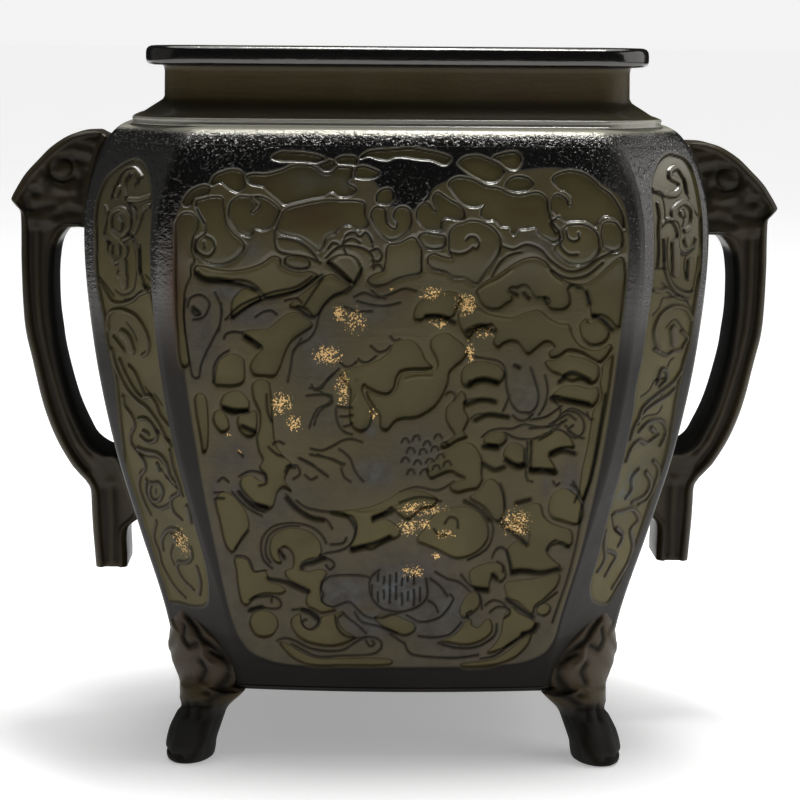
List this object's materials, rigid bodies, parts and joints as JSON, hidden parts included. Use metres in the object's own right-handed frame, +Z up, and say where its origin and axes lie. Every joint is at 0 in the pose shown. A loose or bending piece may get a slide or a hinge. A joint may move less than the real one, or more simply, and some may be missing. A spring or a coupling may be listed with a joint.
{
  "type": "rectangular incense burner",
  "caption": "Open bronze incense burner with a flared rectangular body, canted corners, carved cloud, bird and flower panels, beast-head handles and mask feet.",
  "frame": {"origin": "centre of the bounding box's bottom, on the table plane under the feet", "axes": "+X to the right along the long side, from handle to handle; +Y from the carved front to the back; +Z up"},
  "size_m": [0.1706, 0.1, 0.15],
  "materials": {
    "patinated_bronze": "cast bronze, glossy black to olive patina, small traces of gilding",
    "dark_bronze": "cast bronze, dark brown to black patina, satin"
  },
  "bodies": {
    "root": {"vessel": "patinated_bronze", "handle_left": "dark_bronze", "handle_right": "dark_bronze"}
  },
  "joints": []
}
